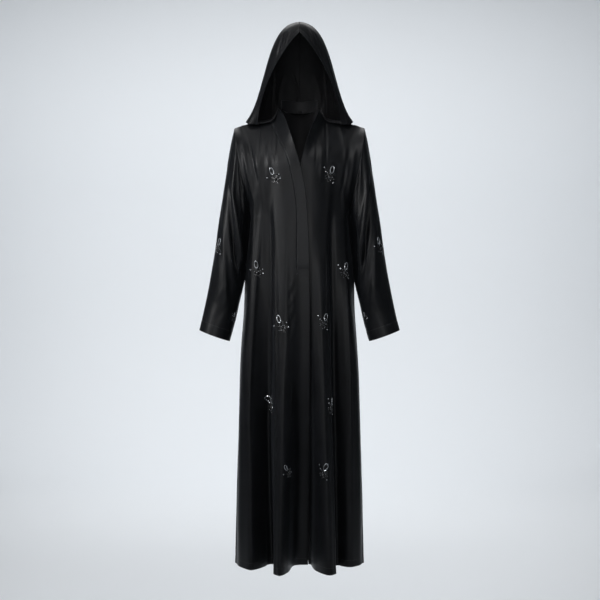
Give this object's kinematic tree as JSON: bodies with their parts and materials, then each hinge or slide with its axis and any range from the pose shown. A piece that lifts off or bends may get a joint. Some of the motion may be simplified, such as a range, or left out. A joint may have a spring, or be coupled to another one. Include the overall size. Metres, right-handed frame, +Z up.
{
  "type": "abaya cloak, hooded and open-fronted, filled out as if worn and held at the shoulders",
  "caption": "Ankle-length black hooded abaya cloak with long sleeves, an overlapped open front, a V neck and scattered beaded motifs, in its hollow worn form.",
  "frame": {"origin": "middle of the neck base, between the two shoulder seams, where a wearer's shoulders hold the garment", "axes": "+Z up towards the crown of the hood, the front of the garment faces -Y, the wearer's right side is -X"},
  "size_m": [0.6178, 0.326, 1.6752],
  "materials": {
    "crepe": "black satin-backed crepe, soft low sheen",
    "beads": "cut glass, silver lined"
  },
  "bodies": {
    "root": {"right_front": "crepe", "left_front": "crepe", "back": "crepe", "right_sleeve": "crepe", "left_sleeve": "crepe", "hood_right": "crepe", "hood_left": "crepe", "neck_band": "crepe", "right_front_band": "crepe", "hang_loop": "crepe"}
  },
  "joints": []
}
